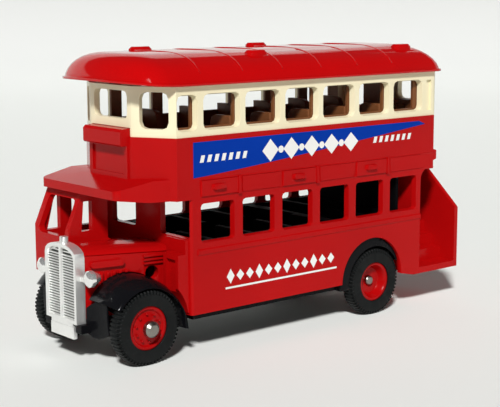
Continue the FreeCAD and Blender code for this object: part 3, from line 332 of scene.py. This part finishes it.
# ---------------------------------------------------------------- printed sides
SIDE = 11.8                      # side planes of the casting
SKIN = 0.02                      # one layer of print
BAND = dict(front=21.5, rear=-28.2, bottom=26.75, top=32.0, tip=31.4, end=1.5, bend=1.15, steps=24)
LOZENGES = dict(count=5, first=6.6, pitch=4.3, z=29.7, width=3.3, height=3.5, shrink=0.1)
DOTS = dict(count=4, first=4.45, pitch=4.3, z=29.7, radius=0.55, sides=32)
BARS = dict(count=7, pitch=1.35, width=0.7, slant=-0.3)
BAR_GROUPS = ((19.6, 28.95, 30.0), (-16.4, 29.1, 30.1))       # first x, lower and upper z
LINE = dict(rear=-7.6, front=15.6, bottom=9.3, top=9.6)
BEADS = dict(count=12, first=14.6, pitch=1.9, z=11.2, width=1.5, height=1.7, tall=2.3, tall_every=3)


def print_on_side(name, outlines, side, look, layer=1):
    """Flat shapes (x, z) laid on a body side as one thin piece."""
    bm = bmesh.new()
    y = side * (SIDE + SKIN * layer) * MM
    for outline in outlines:
        face = bm.faces.new([bm.verts.new((x * MM, y, z * MM)) for x, z in outline])
        face.normal_update()
        if face.normal.y * side < 0:
            face.normal_flip()
    ob = object_from(bm, name)
    ob.data.materials.append(look)
    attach(ob, "bus")


def places(row):
    """Numbered x places of a row of marks, from the front to the rear."""
    return [(k, row["first"] - row["pitch"] * k) for k in range(row["count"])]


def lozenge(x, z, width, height):
    """Outline of a mark about its middle."""
    return [(x - width / 2, z), (x, z - height / 2), (x + width / 2, z), (x, z + height / 2)]


def bar(x0, x1, z0, z1, slant=0.0):
    """Outline of a bar whose upper edge is shifted by the slant."""
    return [(x0, z0), (x1, z0), (x1 + slant, z1), (x0 + slant, z1)]


def disc(x, z, radius, sides):
    """Outline of a round dot."""
    turns = [2 * math.pi * k / sides for k in range(sides)]
    return [(x + radius * math.cos(a), z + radius * math.sin(a)) for a in turns]


def band_outline():
    """Wedge whose lower edge rises towards the rear in a soft curve."""
    b = BAND
    ways = [k / b["steps"] for k in range(b["steps"] + 1)]
    low = [(b["front"] + (b["rear"] - b["front"]) * t,
            b["bottom"] + (b["tip"] - b["bottom"]) * t ** b["bend"]) for t in ways]
    return low + [(b["rear"] + b["end"], b["top"]), (b["front"], b["top"])]


def band_marks():
    """Lozenges and dots in the middle, slanted bars before and behind them."""
    m, d, b = LOZENGES, DOTS, BARS
    marks = [lozenge(x, m["z"], m["width"], m["height"] - m["shrink"] * k) for k, x in places(m)]
    marks += [disc(x, d["z"], d["radius"], d["sides"]) for _, x in places(d)]
    for first, low, top in BAR_GROUPS:
        marks += [bar(x, x + b["width"], low, top, b["slant"]) for _, x in places(dict(b, first=first))]
    return marks


def line_marks():
    """Row of small lozenges over a thin line."""
    m = BEADS
    marks = [bar(LINE["rear"], LINE["front"], LINE["bottom"], LINE["top"])]
    for k, x in places(m):
        height = m["height"] if k % m["tall_every"] else m["tall"]
        marks.append(lozenge(x, m["z"], m["width"], height))
    return marks


for side, tag in ((1, "left"), (-1, "right")):
    print_on_side("side_band_" + tag, [band_outline()], side, BLUE)
    print_on_side("side_marks_" + tag, band_marks(), side, WHITE, 2)
    print_on_side("side_line_" + tag, line_marks(), side, WHITE, 2)


# ---------------------------------------------------------------- roof strips
ROOF = dict(bottom=39.78, rise=5.07, half=12.15, root=3.5, bulge=2.04)
STRIP = dict(count=6, first=19.9, pitch=8.0, half=11.6, sweep=82.0, steps=40)
STRIP_SECTION = ((-0.22, -0.08), (-0.11, 0.045), (0.11, 0.045), (0.22, -0.08))    # x, z


def roof_z(y):
    """Height of the roof's skin along its straight part."""
    level = 1 - (abs(y) / ROOF["half"]) ** ROOF["root"]
    return ROOF["bottom"] + ROOF["rise"] * level ** (1 / ROOF["bulge"])


def roof_strip(name, x):
    """Thin moulded strip over the roof, straight across."""
    s = STRIP
    verts = []
    for k in range(s["steps"] + 1):
        y = s["half"] * math.sin(math.radians(s["sweep"] * (2 * k / s["steps"] - 1)))
        verts += [(x + dx, y, roof_z(y) + dz) for dx, dz in STRIP_SECTION]
    faces = sheet_faces(0, len(STRIP_SECTION), s["steps"] + 1)
    ob = mesh_piece(name, verts, faces, RED_PLASTIC, "bus", True)


for k, x in places(STRIP):
    roof_strip("roof_strip_%d" % (k + 1), x)


# ---------------------------------------------------------------- wheels
LUG_HALF = 0.27                  # half a lug's share of the pitch round the tyre
LUG_SECTION = ((0.70, 0.03), (0.24, 0.03), (0.05, 0.24), (0.05, 0.72), (0.40, 0.72))    # in, down
RIVETS = dict(count=10, turn=0.35, ring=2.1, y_in=0.25, radius=0.17, sides=8)
RIVET_SECTION = ((-0.12, 1.0), (0.03, 1.0), (0.10, 0.6))      # out, share of the radius


def middle(lo, hi, axis):
    """Middle of a box along one axis."""
    return (lo[axis] + hi[axis]) / 2 / MM


def tread_lugs(end, side):
    """Small lugs along both rounded-off edges of a tyre's tread."""
    lo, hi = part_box("tyre_%s_%s" % (end, side))
    x, z = middle(lo, hi, 0), middle(lo, hi, 2)
    radius = (hi[2] - lo[2]) / 2 / MM
    n = len(LUG_SECTION)
    verts, faces = [], []
    for edge, inward in ((hi[1] / MM, -1), (lo[1] / MM, 1)):
        section = [(edge + inward * d, radius - down) for d, down in LUG_SECTION]
        for k in range(TREAD["ribs"]):
            first = len(verts)
            for half in (-LUG_HALF, LUG_HALF):
                a = 2 * math.pi * (k + half) / TREAD["ribs"]
                verts += [(x + q * math.cos(a), y, z + q * math.sin(a)) for y, q in section]
            faces += tube_faces(first, n)
            faces += [tuple(range(first, first + n)), tuple(range(first + n, first + 2 * n))]
    mesh_piece("tread_lugs_%s_%s" % (end, side), verts, faces, TYRES[end], end + "_wheelset")


def hub_rivets(end, side):
    """Ring of small domed rivets on a front hub's dish."""
    r = RIVETS
    lo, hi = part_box("hub_%s_%s" % (end, side))
    out_is = 1 if side == "left" else -1
    x, z = middle(lo, hi, 0), middle(lo, hi, 2)
    y = (hi[1] if out_is > 0 else lo[1]) / MM - out_is * r["y_in"]
    turns = [2 * math.pi * j / r["sides"] for j in range(r["sides"])]
    verts, faces = [], []
    for k in range(r["count"]):
        a = 2 * math.pi * (k + r["turn"]) / r["count"]
        cx, cz = x + r["ring"] * math.cos(a), z + r["ring"] * math.sin(a)
        first = len(verts)
        for out, share in RIVET_SECTION:
            q = share * r["radius"]
            verts += [(cx + q * math.cos(t), y + out_is * out, cz + q * math.sin(t)) for t in turns]
        for level in (0, 1):
            faces += tube_faces(first + level * r["sides"], r["sides"])
        faces.append(tuple(range(first + 2 * r["sides"], first + 3 * r["sides"])))
    mesh_piece("hub_rivets_%s_%s" % (end, side), verts, faces, HUB_RED, end + "_wheelset", True)


for side in ("left", "right"):
    tread_lugs("front", side)
    tread_lugs("rear", side)
    hub_rivets("front", side)


# ---------------------------------------------------------------- front valances
# the plate between its upper and lower edge (y, z), and how its x varies over the height
VALANCE = dict(x=34.70, foot=0.3, belly=0.2, turned=0.7, thick=0.35, levels=6, rounding=0.1,
               sharp=30.0)
VALANCE_TOP = ((4.35, 8.3), (5.2, 8.95), (6.3, 9.5), (7.5, 9.8), (8.75, 9.95))
VALANCE_LOW = ((4.35, 4.3), (5.2, 3.9), (6.3, 3.8), (7.5, 4.2), (8.75, 4.7))


def front_valance(tag, side):
    """Black plate between the radiator and a front wheel, under the mudguard's front end."""
    v = VALANCE
    across, along = len(VALANCE_TOP), v["levels"] + 1
    sheet = across * along
    verts, faces = [], []
    for back in (0.0, v["thick"]):
        for k in range(along):
            t = k / v["levels"]
            x = v["x"] + v["foot"] * (1 - t) ** 2 + v["belly"] * math.sin(math.pi * t) - back
            verts += [(x + v["turned"] * (1 - j / (across - 1)) ** 2,
                       side * (a[0] + (b[0] - a[0]) * t), a[1] + (b[1] - a[1]) * t)
                      for j, (a, b) in enumerate(zip(VALANCE_TOP, VALANCE_LOW))]
    for first in (0, sheet):
        faces += sheet_faces(first, across, along)
    rim = list(range(across)) + [across * (k + 1) - 1 for k in range(1, along)]
    rim += [sheet - 1 - j for j in range(1, across)]
    rim += [across * k for k in range(along - 2, 0, -1)]
    faces += [(a, b, b + sheet, a + sheet) for a, b in zip(rim, rim[1:] + rim[:1])]
    ob = mesh_piece("front_valance_" + tag, verts, faces, BLACK_GLOSS, "bus", True)
    round_edges(ob, v["rounding"], v["sharp"])


front_valance("left", 1)
front_valance("right", -1)


# ---------------------------------------------------------------- studio
YAW, PITCH, ROLL = math.radians(49.83), math.radians(9.33), math.radians(-0.18)    # the camera's
SWEEP = dict(front=-8.0, bend=0.45, radius=0.6, wall=0.75, half=8.0, steps=24)     # metres
# the upright part faces the lamp more than the floor does, so its paper is a little greyer
PAPER = [(0.0, (0.865, 0.88, 0.845)), (0.012, (0.79, 0.80, 0.775)), (0.05, (0.66, 0.665, 0.645)),
         (0.6, (0.62, 0.635, 0.62))]
# the room's light by the height of its direction, from 0 at the horizon to 1 overhead
SKY = [(0.05, (0.16, 0.16, 0.16)), (0.20, (0.11, 0.11, 0.11)), (0.45, (0.07, 0.07, 0.074)),
       (0.60, (0.05, 0.05, 0.054))]


def sweep_backdrop():
    """Floor that turns up into a wall in one soft curve, square to the camera."""
    s = SWEEP
    back = Vector((-math.cos(YAW), -math.sin(YAW), 0))
    across = Vector((-back.y, back.x, 0))
    profile = [(s["front"], 0.0), (s["bend"], 0.0)]
    for k in range(1, s["steps"] + 1):
        a = math.pi / 2 * k / s["steps"]
        profile.append((s["bend"] + s["radius"] * math.sin(a), s["radius"] * (1 - math.cos(a))))
    profile.append((s["bend"] + s["radius"], s["wall"]))
    bm = bmesh.new()
    rows = [[bm.verts.new(back * d + Vector((0, 0, z)) + across * w) for w in (-s["half"], s["half"])]
            for d, z in profile]
    for a, b in zip(rows, rows[1:]):
        bm.faces.new((a[0], a[1], b[1], b[0]))
    bmesh.ops.recalc_face_normals(bm, faces=bm.faces)
    return object_from(bm, "backdrop", True)


def paper_look():
    """Matt pale paper, coloured by height."""
    material, tree, shader = new_material("paper_look")
    tree.links.new(ramp(tree, axes(tree)["Z"], PAPER), shader.inputs["Base Color"])
    shader.inputs["Roughness"].default_value = 0.8
    shader.inputs["Specular IOR Level"].default_value = 0.1
    return material


def dim_sky():
    """Weak light from the room all round, weaker from above."""
    world = bpy.data.worlds.new("studio")
    bpy.context.scene.world = world
    world.use_nodes = True
    tree = world.node_tree
    background = tree.nodes["Background"]
    background.inputs["Strength"].default_value = 1.0
    tree.links.new(ramp(tree, axes(tree, "Generated")["Z"], SKY), background.inputs["Color"])


def far_light(name, azimuth, elevation, spread, strength):
    """Distant soft lamp; angles in degrees, spread is its apparent width."""
    lamp = bpy.data.lights.new(name, "SUN")
    lamp.angle = math.radians(spread)
    lamp.energy = strength
    ob = bpy.data.objects.new(name, lamp)
    bpy.context.scene.collection.objects.link(ob)
    a, e = math.radians(azimuth), math.radians(elevation)
    towards = Vector((math.cos(e) * math.cos(a), math.cos(e) * math.sin(a), math.sin(e)))
    ob.rotation_euler = (-towards).to_track_quat("-Z", "Y").to_euler()


floor = sweep_backdrop()
floor.data.materials.append(paper_look())
dim_sky()
far_light("key", azimuth=45.0, elevation=40.0, spread=7.0, strength=3.8)


# ---------------------------------------------------------------- camera
EYE = Vector((134.03, 157.89, 53.31)) * MM
FOCAL, WIDTH, SENSOR = 1277.8, 500.0, 36.0    # focal length for the picture's width; sensor in mm


def camera():
    """Camera at the eye, turned by yaw, pitch and roll."""
    forward = Vector((-math.cos(PITCH) * math.cos(YAW), -math.cos(PITCH) * math.sin(YAW),
                      -math.sin(PITCH)))
    right = forward.cross(Vector((0, 0, 1))).normalized()
    up = right.cross(forward)
    right, up = (math.cos(ROLL) * right + math.sin(ROLL) * up,
                 -math.sin(ROLL) * right + math.cos(ROLL) * up)
    lens = bpy.data.cameras.new("camera")
    lens.sensor_fit = "HORIZONTAL"
    lens.sensor_width = SENSOR
    lens.lens = SENSOR * FOCAL / WIDTH
    lens.clip_start = 0.01
    ob = bpy.data.objects.new("camera", lens)
    bpy.context.scene.collection.objects.link(ob)
    turned = Matrix((right, up, -forward)).transposed()
    ob.matrix_world = Matrix.Translation(EYE) @ turned.to_4x4()
    bpy.context.scene.camera = ob


camera()
bpy.context.scene.view_settings.view_transform = "Standard"
